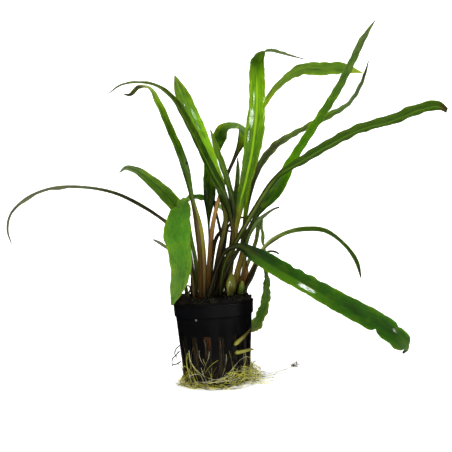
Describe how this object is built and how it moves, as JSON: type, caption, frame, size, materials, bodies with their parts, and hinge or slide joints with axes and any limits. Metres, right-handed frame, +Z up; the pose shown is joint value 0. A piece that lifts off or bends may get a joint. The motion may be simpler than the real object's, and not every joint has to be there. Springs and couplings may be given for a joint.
{
  "type": "potted cryptocoryne",
  "caption": "Strap-leaved aquarium plant in a slotted black net pot, with long arching leaves on channelled stalks and loose roots round the foot.",
  "frame": {"origin": "middle of the pot's underside, on the surface that the plant stands on", "axes": "+Z up the pot's axis, -Y towards the front of the plant, +X to the right, towards the longest leaf"},
  "size_m": [0.2864, 0.1435, 0.2392],
  "materials": {
    "black_polypropylene": "satin",
    "growing_wool": "matte",
    "pale_root": "satin",
    "green_leaf": "satin",
    "dark_leaf": "satin",
    "bare_stalk": "satin",
    "young_shoot": "satin"
  },
  "bodies": {
    "root": {"net_pot": "black_polypropylene", "growing_wool": "growing_wool", "root_mat": "pale_root", "trailing_root": "pale_root", "runner_tip_upper": "pale_root", "runner_tip_lower": "pale_root", "leaf_left": "green_leaf", "leaf_front_left": "green_leaf", "leaf_upper_left_bright": "green_leaf", "leaf_centre_bright": "green_leaf", "leaf_tall_right": "green_leaf", "leaf_drooping_right": "green_leaf", "leaf_back_right_flat": "green_leaf", "leaf_far_left": "dark_leaf", "leaf_upper_left_inner": "dark_leaf", "leaf_upper_left_outer": "dark_leaf", "leaf_short_pointed": "dark_leaf", "leaf_back_arching": "dark_leaf", "leaf_back_right_dark": "dark_leaf", "leaf_thin_upright": "dark_leaf", "leaf_long_right": "dark_leaf", "leaf_front_right": "dark_leaf", "leaf_right_arching": "dark_leaf", "leaf_dark_back": "dark_leaf", "stalk_bare_right": "bare_stalk", "stalk_bare_low": "bare_stalk", "stub_left": "bare_stalk", "curl_left": "bare_stalk", "thin_leaf_left": "bare_stalk", "small_arch_middle": "bare_stalk", "small_arch_back": "bare_stalk", "shoot_pale": "young_shoot", "shoot_green": "young_shoot"}
  },
  "joints": []
}
